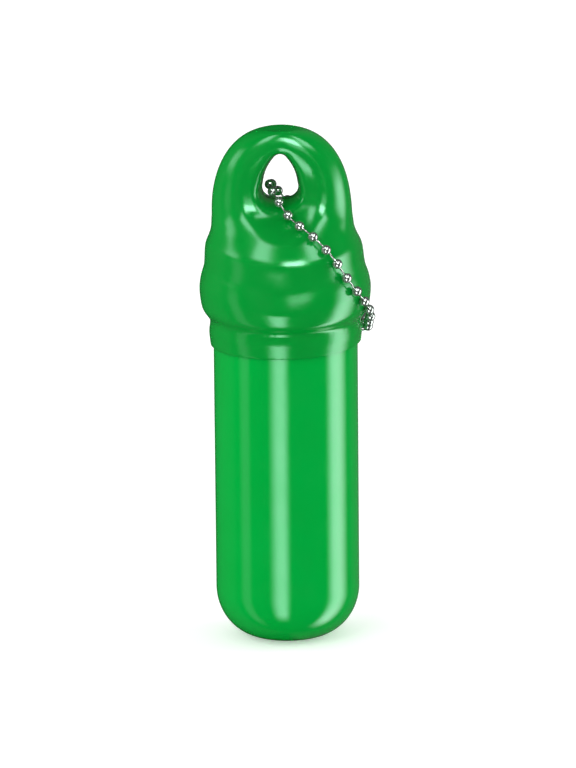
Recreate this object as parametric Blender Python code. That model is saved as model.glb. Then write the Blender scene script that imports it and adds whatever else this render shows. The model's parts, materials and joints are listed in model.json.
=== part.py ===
"""Floating keychain: a hollow vinyl float under a moulded eye cap, with a bead chain looped through the eye.

Lengths are in metres and +Z is up. The origin is the middle of the float's flat foot, +X is the side that
the chain hangs on, and -Y is the front. The chain is laid out as a string of pivots: every bead spans two
of them and every link joins two beads, so each piece turns about the pivot where the one before it ends.
"""

import math

import bmesh
import bpy
from mathutils import Matrix, Vector
from mathutils.bvhtree import BVHTree

# Float body
BODY_RADIUS = 0.0144
BODY_WALL = 0.0016
BODY_TOP = 0.0680
FOOT_RADIUS = 0.0066
FOOT_CORNER_HEIGHT = 0.0106
BODY_SIDES = 48

# Cap skirt and bulge, with outer radii given as steps out from the body's radius
CAP_FIT = 0.0002
SEAT_GAP = 0.0003
SKIRT_OVERLAP = 0.0086
SKIRT_LIP = 0.0005
SKIRT_STEP = 0.0010
SKIRT_HEIGHT = 0.0054
CREASE_STEP = 0.0014
BULGE_STEP = 0.0027
BULGE_RISE = 0.0068
SHOULDER_STEP = 0.0014
SHOULDER_RISE = 0.0074
SEAT_LEDGE = 0.0017
CAP_SIDES = 48

# Eye boss above the shoulder
BOSS_RISE = 0.0070
BOSS_STEP_IN = 0.0004
BOSS_ROUNDNESS = 2.235
BOSS_HALF_DEPTH = 0.0098
BOSS_LEAN = -0.0006
CROWN_WALL = 0.0049
CROWN_LAND = 0.0019
CROWN_HALF_DEPTH = 0.0062
DOME_DROP = 0.0045

# Eye, a rounded triangle between three corner circles
EYE_SILL = 0.00345
EYE_SHIFT = -0.0002
EYE_CORNER_SPREAD = 0.0013
EYE_CORNER_RADIUS = 0.00235
EYE_PEAK_RISE = 0.0049
EYE_PEAK_RADIUS = 0.0020
EYE_FLARE = 0.0030
DISH_SHARE = 0.44
DISH_REACH = 0.0042

# Heights and places that follow from the sizes above
SKIRT_EDGE = BODY_TOP - SKIRT_OVERLAP
CREASE = SKIRT_EDGE + SKIRT_HEIGHT
WIDEST = CREASE + BULGE_RISE
SHOULDER = WIDEST + SHOULDER_RISE
BOSS_BASE = SHOULDER + BOSS_RISE
BOSS_HALF_WIDTH = BODY_RADIUS - BOSS_STEP_IN
CAVITY_RADIUS = BODY_RADIUS + CAP_FIT - SEAT_LEDGE
CAVITY_TOP = BOSS_BASE - DOME_DROP
EYE_LIP = BOSS_BASE + EYE_SILL
EYE_MIDDLE = BOSS_LEAN + EYE_SHIFT
EYE_HEIGHT = EYE_LIP + EYE_CORNER_RADIUS
EYE_TOP = EYE_HEIGHT + EYE_PEAK_RISE + EYE_PEAK_RADIUS + CROWN_WALL

# Bead chain
BEAD_COUNT = 27
FRONT_BEADS = 16
BEAD_RADIUS = 0.0010
BEAD_WALL = 0.00018
BEAD_HOLE = 0.00026
LINK_SPAN = 0.00188
WIRE_RADIUS = 0.00019
HEAD_RADIUS = 0.00034
HEAD_DEPTH = 0.00055
REST_GAP = 0.00012
BEAD_SIDES = 10
LINK_SIDES = 8
ROUTE_STEPS = 12
LEAST_DROP = -0.0052
MOST_DROP = 0.0060

# Folded sheet connector between the two end beads
END_BEAD_SPACING = 0.0044
SHEET = 0.00025
LEAF_CLEARANCE = 0.00012
LEAF_IN = 0.0008
LEAF_OUT = 0.0012
LEAF_CHAMFER = 0.0004
LEAF_OVERHANG = 0.0009
SEAT_HOLE = 0.00048
WEB_GAP = 0.00022

# Finishes as colour, roughness and metallic value
BODY_FINISH = ((0.004, 0.352, 0.040, 1.0), 0.22, 0.0)
CAP_FINISH = ((0.003, 0.296, 0.031, 1.0), 0.24, 0.0)
CHROME_FINISH = ((0.80, 0.81, 0.80, 1.0), 0.12, 1.0)


def clear_scene():
    for item in list(bpy.data.objects):
        bpy.data.objects.remove(item, do_unlink=True)


def make_material(name, colour, roughness, metallic):
    material = bpy.data.materials.new(name)
    material.use_nodes = True
    shader = material.node_tree.nodes["Principled BSDF"]
    shader.inputs["Base Color"].default_value = colour
    shader.inputs["Roughness"].default_value = roughness
    shader.inputs["Metallic"].default_value = metallic
    return material


def finished_mesh(name, shape, smooth_below=40.0):
    mesh = bpy.data.meshes.new(name)
    bmesh.ops.recalc_face_normals(shape, faces=shape.faces)
    shape.to_mesh(mesh)
    shape.free()
    mesh.shade_smooth()
    mesh.set_sharp_from_angle(angle=math.radians(smooth_below))
    return mesh


def add_object(name, mesh, finish):
    """A named object with a material of its own."""
    mesh.materials.append(make_material(f"{name}_finish", *finish))
    item = bpy.data.objects.new(name, mesh)
    bpy.context.scene.collection.objects.link(item)
    return item


def turned(profile, sides, closed):
    """A solid turned about Z from (radius, height) points. An open profile starts and ends on the axis."""
    shape = bmesh.new()
    verts = [shape.verts.new((radius, 0.0, height)) for radius, height in profile]
    ends = list(zip(verts, verts[1:]))
    if closed:
        ends.append((verts[-1], verts[0]))
    edges = [shape.edges.new(pair) for pair in ends]
    bmesh.ops.spin(
        shape,
        geom=verts + edges,
        cent=(0, 0, 0),
        axis=(0, 0, 1),
        angle=math.tau,
        steps=sides,
    )
    bmesh.ops.remove_doubles(shape, verts=shape.verts, dist=1e-6)
    return shape


def corner(foot, radius, height, base, steps):
    """The rounded corner from the edge of a flat foot up to the straight side."""
    points = []
    for step in range(steps + 1):
        angle = math.pi / 2 * step / steps
        out = foot + (radius - foot) * math.sin(angle)
        points.append((out, base + height * (1 - math.cos(angle))))
    return points


def float_body():
    inner_radius = BODY_RADIUS - BODY_WALL
    inner_foot = FOOT_RADIUS - BODY_WALL / 2
    inner_corner = FOOT_CORNER_HEIGHT - BODY_WALL
    outside = corner(FOOT_RADIUS, BODY_RADIUS, FOOT_CORNER_HEIGHT, 0.0, 9)
    inside = corner(inner_foot, inner_radius, inner_corner, BODY_WALL, 6)
    profile = [(0.0, 0.0)]
    profile += outside
    profile += [(BODY_RADIUS, BODY_TOP), (inner_radius, BODY_TOP)]
    profile += reversed(inside)
    profile += [(0.0, BODY_WALL)]
    shape = turned(profile, BODY_SIDES, closed=False)
    return add_object("float_body", finished_mesh("float_body", shape), BODY_FINISH)


def smooth_value(points, at):
    """The height of a smooth curve through (place, value) points, by Hermite spans."""
    if at <= points[0][0]:
        return points[0][1]
    if at >= points[-1][0]:
        return points[-1][1]
    span = max(n for n in range(len(points) - 1) if points[n][0] <= at)

    def slope(n):
        before, after = points[max(n - 1, 0)], points[min(n + 1, len(points) - 1)]
        return (after[1] - before[1]) / (after[0] - before[0])

    (start, low), (end, high) = points[span], points[span + 1]
    width = end - start
    t = (at - start) / width
    rise_in = slope(span) * width
    rise_out = slope(span + 1) * width
    blend = 3 * t * t - 2 * t**3
    return low + (high - low) * blend + rise_in * (t - 2 * t * t + t**3) + rise_out * (t**3 - t * t)


def bulge_outline():
    """(height, radius) points up the skirt, the crease, the bulge and the shoulder."""
    skirt = [
        (SKIRT_EDGE, BODY_RADIUS + CAP_FIT + SKIRT_LIP / 2),
        (SKIRT_EDGE + SKIRT_LIP, BODY_RADIUS + CAP_FIT + SKIRT_LIP),
        (SKIRT_EDGE + SKIRT_HEIGHT / 3, BODY_RADIUS + SKIRT_STEP - SKIRT_LIP / 2),
        (SKIRT_EDGE + SKIRT_HEIGHT * 2 / 3, BODY_RADIUS + SKIRT_STEP),
        (CREASE, BODY_RADIUS + SKIRT_STEP + SKIRT_LIP / 10),
    ]
    upper = BULGE_STEP - SHOULDER_STEP
    bulge = [
        (CREASE + BULGE_RISE * 0.06, BODY_RADIUS + CREASE_STEP),
        (WIDEST - BULGE_RISE * 0.55, BODY_RADIUS + CREASE_STEP + (BULGE_STEP - CREASE_STEP) * 0.70),
        (WIDEST, BODY_RADIUS + BULGE_STEP),
        (WIDEST + SHOULDER_RISE * 0.38, BODY_RADIUS + SHOULDER_STEP + upper * 0.69),
        (WIDEST + SHOULDER_RISE * 0.60, BODY_RADIUS + SHOULDER_STEP + upper * 0.23),
        (WIDEST + SHOULDER_RISE * 0.81, BODY_RADIUS + SHOULDER_STEP + upper * 0.12),
        (SHOULDER, BODY_RADIUS + SHOULDER_STEP + upper * 0.08),
        (SHOULDER + BOSS_RISE * 0.23, BODY_RADIUS + SHOULDER_STEP - upper * 0.19),
        (SHOULDER + BOSS_RISE * 0.46, (BODY_RADIUS + SHOULDER_STEP + BOSS_HALF_WIDTH) / 2),
        (SHOULDER + BOSS_RISE * 0.69, BOSS_HALF_WIDTH + upper * 0.19),
        (BOSS_BASE, BOSS_HALF_WIDTH),
    ]
    return skirt, bulge


def crown(height):
    """How far a level has closed in towards the eye's crown, from 1 at the boss's base."""
    share = (height - BOSS_BASE) / (EYE_TOP - BOSS_BASE)
    return (1 - min(share, 1.0) ** BOSS_ROUNDNESS) ** (1 / BOSS_ROUNDNESS)


def half_width(height):
    if height > BOSS_BASE:
        return CROWN_LAND + (BOSS_HALF_WIDTH - CROWN_LAND) * crown(height)
    skirt, bulge = bulge_outline()
    points = skirt if height <= skirt[-1][0] else bulge
    return smooth_value(points, height)


def half_depth(height):
    """The boss narrows to the eye in side view, and is round below the shoulder."""
    if height <= SHOULDER:
        return half_width(height)
    full = half_width(SHOULDER)
    points = [
        (SHOULDER - BOSS_RISE * 0.3, full),
        (SHOULDER, full),
        (SHOULDER + BOSS_RISE * 0.35, full - (full - BOSS_HALF_DEPTH) * 0.26),
        (BOSS_BASE + (EYE_TOP - BOSS_BASE) * 0.08, BOSS_HALF_DEPTH),
        (BOSS_BASE + (EYE_TOP - BOSS_BASE) * 0.45, (BOSS_HALF_DEPTH + CROWN_HALF_DEPTH) / 2),
        (EYE_TOP, CROWN_HALF_DEPTH),
    ]
    depth = smooth_value(points, height)
    if height > BOSS_BASE:
        depth *= 0.60 + 0.40 * crown(height) ** 0.64
    return depth


def lean(height):
    """The soft boss leans a little sideways, from the bulge up to the eye."""
    share = min(max((height - WIDEST) / (EYE_HEIGHT - WIDEST), 0.0), 1.0)
    return BOSS_LEAN * share * share * (3 - 2 * share)


def squareness(height):
    share = min(max((height - SHOULDER) / BOSS_RISE, 0.0), 1.0)
    return 2.0 + (BOSS_ROUNDNESS - 2.0) * share


def eye_circles(grow):
    """The three corner circles of the eye as (x, z, radius), grown by an amount."""
    low = EYE_CORNER_RADIUS + grow
    peak = EYE_PEAK_RADIUS + grow
    return [
        (EYE_MIDDLE - EYE_CORNER_SPREAD, EYE_HEIGHT, low),
        (EYE_MIDDLE + EYE_CORNER_SPREAD, EYE_HEIGHT, low),
        (EYE_MIDDLE, EYE_HEIGHT + EYE_PEAK_RISE, peak),
    ]


def eye_reach(x, z):
    """The distance of a point outside the eye's middle lines, less the corner radius."""
    corners = [Vector((cx, cz)) for cx, cz, _ in eye_circles(0.0)]
    place = Vector((x, z))
    nearest = None
    for start, end in zip(corners, corners[1:] + corners[:1]):
        line = end - start
        share = min(max((place - start).dot(line) / line.length_squared, 0.0), 1.0)
        away = (place - start - line * share).length
        nearest = away if nearest is None else min(nearest, away)
    return max(nearest - EYE_CORNER_RADIUS, 0.0)


def dish(x, z):
    """The share of its depth that the boss loses near the eye."""
    return DISH_SHARE * math.exp(-((eye_reach(x, z) / DISH_REACH) ** 2))


def cap_point(angle, height):
    """A point of the cap's outside, at an angle from +X."""
    power = 2 / squareness(height)
    side, face = math.cos(angle), math.sin(angle)
    x = lean(height) + half_width(height) * math.copysign(abs(side) ** power, side)
    y = half_depth(height) * math.copysign(abs(face) ** power, face)
    return Vector((x, y * (1 - dish(x, height)), height))


def cap_levels():
    """Heights of the cap's rings: the outline's own below, closer together near the crown above."""
    skirt, bulge = bulge_outline()
    levels = [height for height, _ in skirt]
    bulge_steps = 14
    start, end = bulge[0][0], BOSS_BASE
    levels += [start + (end - start) * n / bulge_steps for n in range(bulge_steps + 1)]
    crown_steps = 12
    for n in range(1, crown_steps + 1):
        levels.append(BOSS_BASE + (EYE_TOP - BOSS_BASE) * math.sin(math.pi / 2 * n / crown_steps))
    return levels


def ring(shape, points):
    return [shape.verts.new(point) for point in points]


def join_rings(shape, lower, upper):
    count = len(lower)
    for n in range(count):
        after = (n + 1) % count
        shape.faces.new((lower[n], lower[after], upper[after], upper[n]))


def circle_points(radius, height):
    return [
        (radius * math.cos(math.tau * n / CAP_SIDES), radius * math.sin(math.tau * n / CAP_SIDES), height)
        for n in range(CAP_SIDES)
    ]


def cap_cavity():
    """(radius, height) points of the cap's hollow, from the skirt's edge to the top of its dome."""
    bore = BODY_RADIUS + CAP_FIT
    seat = BODY_TOP + SEAT_GAP
    points = [(bore, SKIRT_EDGE), (bore, seat), (CAVITY_RADIUS, seat)]
    dome_steps = 5
    for n in range(1, dome_steps):
        angle = math.pi / 2 * n / dome_steps
        height = seat + (CAVITY_TOP - seat) * math.sin(angle)
        points.append((CAVITY_RADIUS * math.cos(angle), height))
    return points


def cap_shell():
    shape = bmesh.new()
    angles = [math.tau * n / CAP_SIDES for n in range(CAP_SIDES)]
    rings = [ring(shape, [cap_point(angle, height) for angle in angles]) for height in cap_levels()]
    inside = [ring(shape, circle_points(radius, height)) for radius, height in cap_cavity()]
    for lower, upper in zip(rings, rings[1:]):
        join_rings(shape, lower, upper)
    join_rings(shape, inside[0], rings[0])
    for lower, upper in zip(inside, inside[1:]):
        join_rings(shape, upper, lower)
    shape.faces.new(rings[-1])
    shape.faces.new(inside[-1])
    bmesh.ops.triangulate(shape, faces=[face for face in shape.faces if len(face.verts) > 4])
    return shape


def eye_outline(grow, steps):
    """Points round the eye: an arc on each corner circle, joined by their common tangents."""
    left, right, peak = eye_circles(grow)
    run = math.hypot(peak[0] - right[0], peak[1] - right[1])
    slant = math.atan2(peak[1] - right[1], peak[0] - right[0])
    side = slant - math.pi / 2 + math.asin((right[2] - peak[2]) / run)
    arcs = [
        (right, -math.pi / 2, side),
        (peak, side, math.pi - side),
        (left, math.pi - side, math.pi * 3 / 2),
    ]
    points = []
    for (x, z, radius), start, end in arcs:
        for n in range(steps + 1):
            angle = start + (end - start) * n / steps
            points.append((x + radius * math.cos(angle), z + radius * math.sin(angle)))
    return points


def eye_cutter():
    """The eye's hole as a solid: narrow in the middle and flared to both faces."""
    reach = BOSS_HALF_DEPTH + BODY_RADIUS
    full = BOSS_HALF_DEPTH * 0.74
    places = [-1.0, -0.93, -0.78, -0.56, -0.30, 0.0, 0.30, 0.56, 0.78, 0.93, 1.0]
    shape = bmesh.new()
    rings = []
    for place in places:
        grow = EYE_FLARE * (1 - math.sqrt(1 - (place * 0.96) ** 2))
        rings.append(ring(shape, [(x, place * full, z) for x, z in eye_outline(grow, 5)]))
    wide = eye_outline(EYE_FLARE * (1 - math.sqrt(1 - 0.96**2)) * 1.05, 5)
    rings.insert(0, ring(shape, [(x, -reach, z) for x, z in wide]))
    rings.append(ring(shape, [(x, reach, z) for x, z in wide]))
    for lower, upper in zip(rings, rings[1:]):
        join_rings(shape, lower, upper)
    shape.faces.new(rings[0])
    shape.faces.new(rings[-1])
    return shape


def eye_cap():
    cap = add_object("eye_cap", finished_mesh("eye_cap", cap_shell()), CAP_FINISH)
    cutter = add_object("eye_cutter", finished_mesh("eye_cutter", eye_cutter()), CAP_FINISH)
    cutter.hide_render = True
    cutter.display_type = "WIRE"
    cut = cap.modifiers.new("eye", "BOOLEAN")
    cut.operation = "DIFFERENCE"
    cut.solver = "EXACT"
    cut.object = cutter
    return cap


def smooth_line(knots, steps, closed):
    """Points on a smooth line through the knots, by Catmull-Rom spans."""
    count = len(knots)
    last = count if closed else count - 1

    def knot(n):
        return knots[n % count] if closed else knots[min(max(n, 0), count - 1)]

    line = []
    for n in range(last):
        before, start, end, after = (knot(n + k) for k in (-1, 0, 1, 2))
        turn_in = (end - before) / 2
        turn_out = (after - start) / 2
        for step in range(steps):
            t = step / steps
            blend = 3 * t * t - 2 * t**3
            line.append(start.lerp(end, blend) + turn_in * (t - 2 * t * t + t**3) + turn_out * (t**3 - t * t))
    if not closed:
        line.append(knots[-1])
    return line


def connector_reach():
    """How much further than a bead the connector's leaves reach towards the cap."""
    return math.hypot(BEAD_RADIUS + LEAF_CLEARANCE + SHEET, LEAF_IN) - BEAD_RADIUS


def pivot_spacing():
    """The distance between a bead's two pivots, each in the middle of its wall."""
    return 2 * BEAD_RADIUS - BEAD_WALL


class ChainRoute:
    """The closed line that the chain's pivots lie on, through the eye and round the bulge's right side."""

    def __init__(self, cap, drop):
        self.tree = BVHTree.FromObject(cap, bpy.context.evaluated_depsgraph_get())
        self.points = smooth_line(self.knots(drop), ROUTE_STEPS, closed=True)

    def seat(self, azimuth, height, stand_off):
        """The first place where a bead clears the cap, coming in at an azimuth from the front towards +X."""
        clearance = BEAD_RADIUS + REST_GAP + stand_off
        direction = Vector((math.sin(azimuth), -math.cos(azimuth), 0.0))
        centre = Vector((lean(height), 0.0, height))
        touching = BODY_RADIUS * 1.7
        stride = BEAD_RADIUS / 4
        while self.tree.find_nearest(centre + direction * touching)[3] >= clearance:
            touching -= stride
        clear = touching + stride
        for _ in range(12):
            middle = (touching + clear) / 2
            if self.tree.find_nearest(centre + direction * middle)[3] < clearance:
                touching = middle
            else:
                clear = middle
        return centre + direction * clear

    def knots(self, drop):
        """Hand-chosen places along the loop: over the eye's left corner, then round the cap."""
        edge = EYE_MIDDLE - EYE_CORNER_SPREAD - EYE_CORNER_RADIUS
        through_eye = [
            (2.8, 6.8, 0.5),
            (1.9, 4.3, 2.1),
            (1.5, 1.2, 2.7),
            (1.9, -1.9, 2.1),
            (2.9, -5.0, 0.9),
        ]
        rise = EYE_LIP - WIDEST
        fall = WIDEST - SKIRT_EDGE
        round_the_cap = [
            (8, WIDEST + rise * 0.891, 0.0),
            (25, WIDEST + rise * 0.711, 0.0),
            (38, WIDEST + rise * 0.409, 0.0),
            (52, WIDEST + rise * 0.056, 0.0),
            (70, WIDEST - fall * 0.311, 0.0),
            (90, WIDEST - fall * 0.549 - drop, 0.0),
            (107, WIDEST - fall * 0.713 - drop, connector_reach()),
            (125, WIDEST - fall * 0.574 - drop, connector_reach()),
            (138, WIDEST - fall * 0.082, 0.0),
            (150, WIDEST + rise * 0.392, 0.0),
            (162, WIDEST + rise * 0.700, REST_GAP * 2),
            (174, WIDEST + rise * 0.885, REST_GAP * 3),
        ]
        corner = Vector((edge, 0.0, EYE_LIP))
        places = [self.lifted(corner + Vector(place) * BEAD_RADIUS) for place in through_eye]
        turns = [Vector((math.radians(turn), *place)) for turn, *place in round_the_cap]
        places += [self.seat(*place) for place in smooth_line(turns, 4, closed=False)]
        return places

    def lifted(self, place):
        """A place in the eye, raised where a bead there would touch the cap."""
        while self.tree.find_nearest(place)[3] < BEAD_RADIUS + REST_GAP:
            place = place + Vector((0.0, 0.0, REST_GAP))
        return place

    def step_from(self, place, index, distance):
        """The next place on the line at a straight distance from a place, and where it is."""
        count = len(self.points)
        while (self.points[index % count] - place).length < distance:
            index += 1
        inner, outer = self.points[(index - 1) % count], self.points[index % count]
        low, high = 0.0, 1.0
        for _ in range(30):
            middle = (low + high) / 2
            if (inner.lerp(outer, middle) - place).length < distance:
                low = middle
            else:
                high = middle
        return inner.lerp(outer, high), index


def chain_steps():
    """The straight distances between pivots once round the chain, from the first bead's front pivot."""
    bead = pivot_spacing()
    steps = []
    for number in range(2, BEAD_COUNT + 1):
        if number == FRONT_BEADS + 1:
            steps += [END_BEAD_SPACING, bead / 2]
        elif number == FRONT_BEADS:
            steps += [LINK_SPAN, bead / 2]
        else:
            steps += [LINK_SPAN, bead]
    return steps + [LINK_SPAN]


def walk(cap, drop):
    """The chain's pivots for one drop of its lowest part, and how far it misses closing."""
    route = ChainRoute(cap, drop)
    first_step = round(2.4 * ROUTE_STEPS)
    place, index = route.points[first_step], first_step
    pivots = [place]
    for distance in chain_steps():
        place, index = route.step_from(place, index, distance)
        pivots.append(place)
    shut = len(route.points) + first_step - index
    gap = (pivots[-1] - pivots[0]).length
    return pivots, (gap if shut > 0 else -gap) - pivot_spacing()


def lay_chain(cap):
    """Let the loop hang lower or higher until its last link meets the first bead."""
    low, high = LEAST_DROP, MOST_DROP
    for _ in range(26):
        middle = (low + high) / 2
        pivots, miss = walk(cap, middle)
        if miss < 0:
            low = middle
        else:
            high = middle
    return pivots


def along(start, end):
    """A frame at a start point with its Z axis towards an end point."""
    forward = (end - start).normalized()
    across = Vector((0.0, 0.0, 1.0)).cross(forward).normalized()
    up = forward.cross(across)
    turn = Matrix((across, up, forward)).transposed().to_4x4()
    return Matrix.Translation(start) @ turn


def bead_mesh():
    """A hollow bead about Z, its two holes on the axis and its near pivot at the origin."""
    middle = BEAD_RADIUS - BEAD_WALL / 2
    inner = BEAD_RADIUS - BEAD_WALL
    edge = math.asin(BEAD_HOLE / BEAD_RADIUS)
    inner_edge = math.asin(BEAD_HOLE / inner)
    profile = []
    outer_steps = 6
    for n in range(outer_steps + 1):
        angle = edge + (math.pi - 2 * edge) * n / outer_steps
        profile.append((BEAD_RADIUS * math.sin(angle), middle - BEAD_RADIUS * math.cos(angle)))
    inner_steps = 4
    for n in range(inner_steps + 1):
        angle = math.pi - inner_edge - (math.pi - 2 * inner_edge) * n / inner_steps
        profile.append((inner * math.sin(angle), middle - inner * math.cos(angle)))
    return finished_mesh("bead", turned(profile, BEAD_SIDES, closed=True))


def link_mesh():
    """A wire link along Z with a round head at each end, its near pivot at the origin."""
    near, far = -HEAD_DEPTH, LINK_SPAN + HEAD_DEPTH
    neck = math.asin(WIRE_RADIUS / HEAD_RADIUS)
    profile = []
    head_steps = 3
    for n in range(head_steps + 1):
        angle = (math.pi - neck) * n / head_steps
        profile.append((HEAD_RADIUS * math.sin(angle), near - HEAD_RADIUS * math.cos(angle)))
    for n in range(head_steps + 1):
        angle = neck + (math.pi - neck) * n / head_steps
        profile.append((HEAD_RADIUS * math.sin(angle), far - HEAD_RADIUS * math.cos(angle)))
    return finished_mesh("link", turned(profile, LINK_SIDES, closed=False))


def connector_mesh():
    """A strip folded to two leaves over the end beads, about Z, with the near bead's middle at the origin.

    The leaves face each other along X. The web joins them between the beads, so both ends stay open.
    """
    inside = BEAD_RADIUS + LEAF_CLEARANCE
    outside = inside + SHEET
    low = -LEAF_OVERHANG
    high = END_BEAD_SPACING + LEAF_OVERHANG
    web_low = BEAD_RADIUS + WEB_GAP
    web_high = END_BEAD_SPACING - BEAD_RADIUS - WEB_GAP
    outline = [
        (LEAF_CHAMFER - LEAF_IN, low),
        (LEAF_OUT - LEAF_CHAMFER, low),
        (LEAF_OUT, low + LEAF_CHAMFER),
        (LEAF_OUT, web_low),
        (LEAF_OUT, web_high),
        (LEAF_OUT, high - LEAF_CHAMFER),
        (LEAF_OUT - LEAF_CHAMFER, high),
        (LEAF_CHAMFER - LEAF_IN, high),
        (-LEAF_IN, high - LEAF_CHAMFER),
        (-LEAF_IN, low + LEAF_CHAMFER),
    ]
    shape = bmesh.new()
    skins = {}
    for x in (-outside, -inside, inside, outside):
        skins[x] = ring(shape, [(x, y, z) for y, z in outline])
        skins[x, "holes"] = [
            ring(
                shape,
                [
                    (x, SEAT_HOLE * math.cos(math.tau * n / 8), centre + SEAT_HOLE * math.sin(math.tau * n / 8))
                    for n in range(8)
                ],
            )
            for centre in (0.0, END_BEAD_SPACING)
        ]
    web_inner_y = LEAF_OUT - SHEET
    fold = {}
    for x in (-inside, inside):
        fold[x] = ring(shape, [(x, web_inner_y, web_low), (x, web_inner_y, web_high)])

    def fill(loops):
        edges = []
        for loop in loops:
            for n, vert in enumerate(loop):
                after = loop[(n + 1) % len(loop)]
                edges.append(shape.edges.get((vert, after)) or shape.edges.new((vert, after)))
        bmesh.ops.triangle_fill(shape, edges=edges, use_beauty=True)

    for x in (-outside, outside):
        fill([skins[x], *skins[x, "holes"]])
    for x in (-inside, inside):
        near, far = fold[x]
        loop = skins[x][:4] + [near, far] + skins[x][4:]
        fill([loop, *skins[x, "holes"]])
    for inner, outer in ((-inside, -outside), (inside, outside)):
        for n in range(len(outline)):
            after = (n + 1) % len(outline)
            if n != 3:
                shape.faces.new((skins[inner][n], skins[inner][after], skins[outer][after], skins[outer][n]))
        for near, far in zip(skins[inner, "holes"], skins[outer, "holes"]):
            join_rings(shape, near, far)
    left, right = skins[-inside], skins[inside]
    shape.faces.new((skins[-outside][3], skins[-outside][4], skins[outside][4], skins[outside][3]))
    shape.faces.new((fold[-inside][0], fold[-inside][1], fold[inside][1], fold[inside][0]))
    shape.faces.new((left[3], fold[-inside][0], fold[inside][0], right[3], skins[outside][3], skins[-outside][3]))
    shape.faces.new((left[4], fold[-inside][1], fold[inside][1], right[4], skins[outside][4], skins[-outside][4]))
    bmesh.ops.triangulate(shape, faces=[face for face in shape.faces if len(face.verts) > 4])
    return finished_mesh("chain_connector", shape, smooth_below=20.0)


def bead_chain(cap):
    """Place every bead and link on the chain's pivots, each with its origin where it hangs on the one before."""
    pivots = lay_chain(cap)
    bead_model = bead_mesh()
    link_model = link_mesh()

    def place(name, model, start, end):
        item = add_object(name, model.copy(), CHROME_FINISH)
        item.matrix_world = along(start, end)
        return item

    swing = bpy.data.objects.new("eye_swing", None)
    swing.location = (pivots[-1] + pivots[0]) / 2
    bpy.context.scene.collection.objects.link(swing)
    bpy.context.view_layer.update()
    first = place("bead_01", bead_model, pivots[-1], pivots[0])
    first.parent = swing
    first.matrix_parent_inverse = swing.matrix_world.inverted()

    for number in range(2, FRONT_BEADS + 1):
        start, hole, end = pivots[2 * number - 4 : 2 * number - 1]
        place(f"link_{number - 1:02d}", link_model, start, hole)
        place(f"bead_{number:02d}", bead_model, hole, end)
    back = pivots[2 * FRONT_BEADS - 1 :]
    connect(back[0], end)
    for number in range(FRONT_BEADS + 1, BEAD_COUNT + 1):
        start, hole, end = back[:3]
        place(f"bead_{number:02d}", bead_model, hole, start)
        place(f"link_{number - 1:02d}", link_model, end, hole)
        back = back[2:]


def connect(start, end):
    """The connector from the back end bead to the front one, its web on the side away from the float."""
    connector = add_object("chain_connector", connector_mesh(), CHROME_FINISH)
    middle = (start + end) / 2
    outward = Vector((middle.x, middle.y, 0.0)).normalized()
    forward = (end - start).normalized()
    across = outward.cross(forward).normalized()
    out = forward.cross(across)
    turn = Matrix((across, out, forward)).transposed().to_4x4()
    connector.matrix_world = Matrix.Translation(start) @ turn


def main():
    clear_scene()
    float_body()
    bead_chain(eye_cap())


main()
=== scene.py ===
# %% [markdown]
# # A floating keychain
# The object is a small vinyl float that keeps keys from sinking. A thin blown tube is closed by a moulded
# cap with an eye through it. A ball chain runs through the eye and is joined by a folded connector. The
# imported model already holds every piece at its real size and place. This lesson dresses it: each piece is
# modelled again with smooth surfaces and gets its finish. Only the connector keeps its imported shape.

# %% Load the frame
import json
import math

import bmesh
import bpy
from mathutils import Matrix, Vector


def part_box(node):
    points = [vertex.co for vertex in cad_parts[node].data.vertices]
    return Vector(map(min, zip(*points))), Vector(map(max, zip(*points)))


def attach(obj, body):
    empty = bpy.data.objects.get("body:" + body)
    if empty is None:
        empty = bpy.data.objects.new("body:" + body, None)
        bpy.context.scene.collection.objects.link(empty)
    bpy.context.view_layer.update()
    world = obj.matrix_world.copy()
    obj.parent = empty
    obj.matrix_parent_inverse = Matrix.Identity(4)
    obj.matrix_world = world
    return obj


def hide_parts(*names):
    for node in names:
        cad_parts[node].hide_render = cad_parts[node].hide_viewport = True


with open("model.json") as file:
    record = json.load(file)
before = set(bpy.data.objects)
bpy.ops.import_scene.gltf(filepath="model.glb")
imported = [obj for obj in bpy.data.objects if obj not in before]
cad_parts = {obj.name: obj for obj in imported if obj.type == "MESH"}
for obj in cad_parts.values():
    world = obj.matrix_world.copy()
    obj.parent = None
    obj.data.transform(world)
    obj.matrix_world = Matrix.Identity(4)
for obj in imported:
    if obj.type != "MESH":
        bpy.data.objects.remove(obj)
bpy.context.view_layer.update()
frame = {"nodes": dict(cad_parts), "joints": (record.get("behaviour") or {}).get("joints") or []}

MM = 0.001

# %% [markdown]
# ## Camera
# The photograph was taken from a little above the object and from far away, so its upright lines stay
# parallel. A long lens gives the same flat perspective. The whole picture leans by half a degree,
# which is a small roll of the camera.

# %% Place the camera
PICTURE_HEIGHT = 153.6 * MM
LENS = 300.0
SENSOR = 36.0
LOOK_DOWN = math.radians(13.0)
ROLL = -math.atan(0.009)
LOOK_AT = Vector((0.39 * MM, 0.0, 51.5 * MM))

camera_data = bpy.data.cameras.new("camera")
camera_data.lens = LENS
camera_data.sensor_width = SENSOR
camera_data.clip_end = 20.0
camera = bpy.data.objects.new("camera", camera_data)
bpy.context.scene.collection.objects.link(camera)
away = PICTURE_HEIGHT * LENS / SENSOR
tilt = Matrix.Rotation(math.pi / 2 - LOOK_DOWN, 4, "X") @ Matrix.Rotation(ROLL, 4, "Z")
back = Vector((0.0, -math.cos(LOOK_DOWN), math.sin(LOOK_DOWN))) * away
camera.matrix_world = Matrix.Translation(LOOK_AT + back) @ tilt
bpy.context.scene.camera = camera
print("camera", round(away, 3), "m away")

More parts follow.
